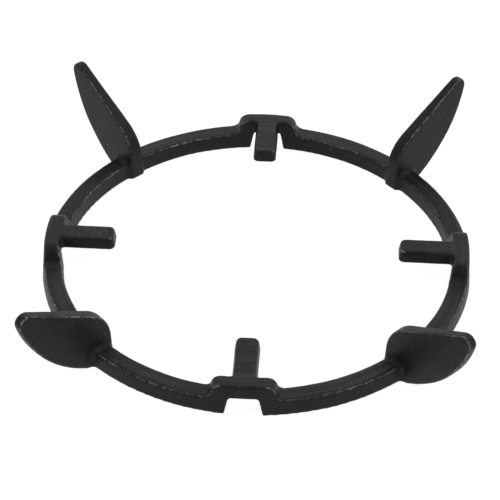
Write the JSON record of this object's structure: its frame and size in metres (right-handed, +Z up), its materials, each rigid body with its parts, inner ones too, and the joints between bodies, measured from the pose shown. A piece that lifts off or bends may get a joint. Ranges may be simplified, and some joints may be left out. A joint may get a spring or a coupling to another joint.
{
  "type": "wok ring",
  "caption": "Round cast-iron wok ring with upright fins that carry a round-bottomed wok, and notches and inward tongues that sit on a hob's pan support.",
  "frame": {"origin": "on the ring's axis, in the plane of its underside", "axes": "+Z up along the ring's axis; the tongues lie along X and Y, the fins on the diagonals"},
  "size_m": [0.239, 0.239, 0.0554],
  "materials": {
    "cast_iron": "satin black, fine cast grain"
  },
  "bodies": {
    "root": {"wok_ring": "cast_iron"}
  },
  "joints": []
}
